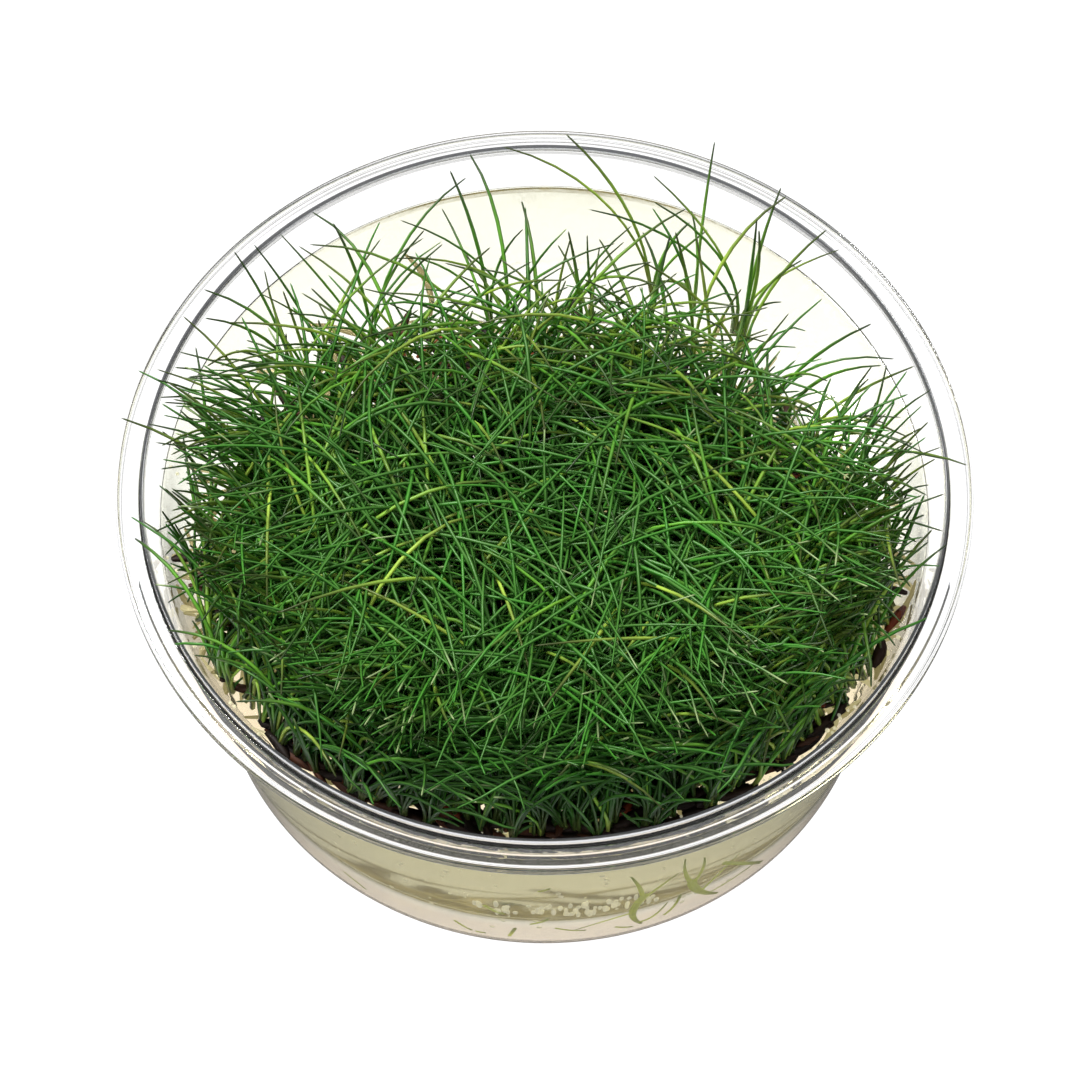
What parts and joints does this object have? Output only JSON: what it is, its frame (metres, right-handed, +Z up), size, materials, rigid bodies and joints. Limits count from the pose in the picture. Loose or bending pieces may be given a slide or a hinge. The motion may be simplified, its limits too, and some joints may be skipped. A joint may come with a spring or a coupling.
{
  "type": "dwarf hairgrass in a culture cup",
  "caption": "Low dome of fine, grass-like aquarium plant rooted in clear gel, which fills a round clear plastic culture cup with a flanged rim that stands on its foot ring.",
  "frame": {"origin": "centre of the cup's foot, on the surface that it stands on", "axes": "+Z up along the cup's axis; -Y towards the front, where the two loose plantlets lie against the wall; +X to the right of that front"},
  "size_m": [0.102, 0.102, 0.0645],
  "materials": {
    "clear_plastic": "clear moulded plastic, polished, see-through",
    "culture_gel": "wet culture gel, slightly cloudy, see-through, pale olive to cream",
    "grass_blades": "living leaf, satin, vivid green with darker tips and paler bases",
    "plantlet_leaf": "living leaf, satin, pale olive green"
  },
  "bodies": {
    "root": {"cup": "clear_plastic", "gel": "culture_gel", "clump_01": "grass_blades", "clump_02": "grass_blades", "clump_03": "grass_blades", "clump_04": "grass_blades", "clump_05": "grass_blades", "clump_06": "grass_blades", "clump_07": "grass_blades", "clump_08": "grass_blades", "clump_09": "grass_blades", "clump_10": "grass_blades", "clump_11": "grass_blades", "clump_12": "grass_blades", "clump_13": "grass_blades", "clump_14": "grass_blades", "clump_15": "grass_blades", "clump_16": "grass_blades", "clump_17": "grass_blades", "clump_18": "grass_blades", "clump_19": "grass_blades", "clump_20": "grass_blades", "clump_21": "grass_blades", "clump_22": "grass_blades", "clump_23": "grass_blades", "clump_24": "grass_blades", "clump_25": "grass_blades", "clump_26": "grass_blades", "clump_27": "grass_blades", "clump_28": "grass_blades", "clump_29": "grass_blades", "clump_30": "grass_blades", "clump_31": "grass_blades", "clump_32": "grass_blades", "clump_33": "grass_blades", "clump_34": "grass_blades", "clump_35": "grass_blades", "clump_36": "grass_blades", "clump_37": "grass_blades", "plantlet_1": "plantlet_leaf", "plantlet_2": "plantlet_leaf"}
  },
  "joints": []
}
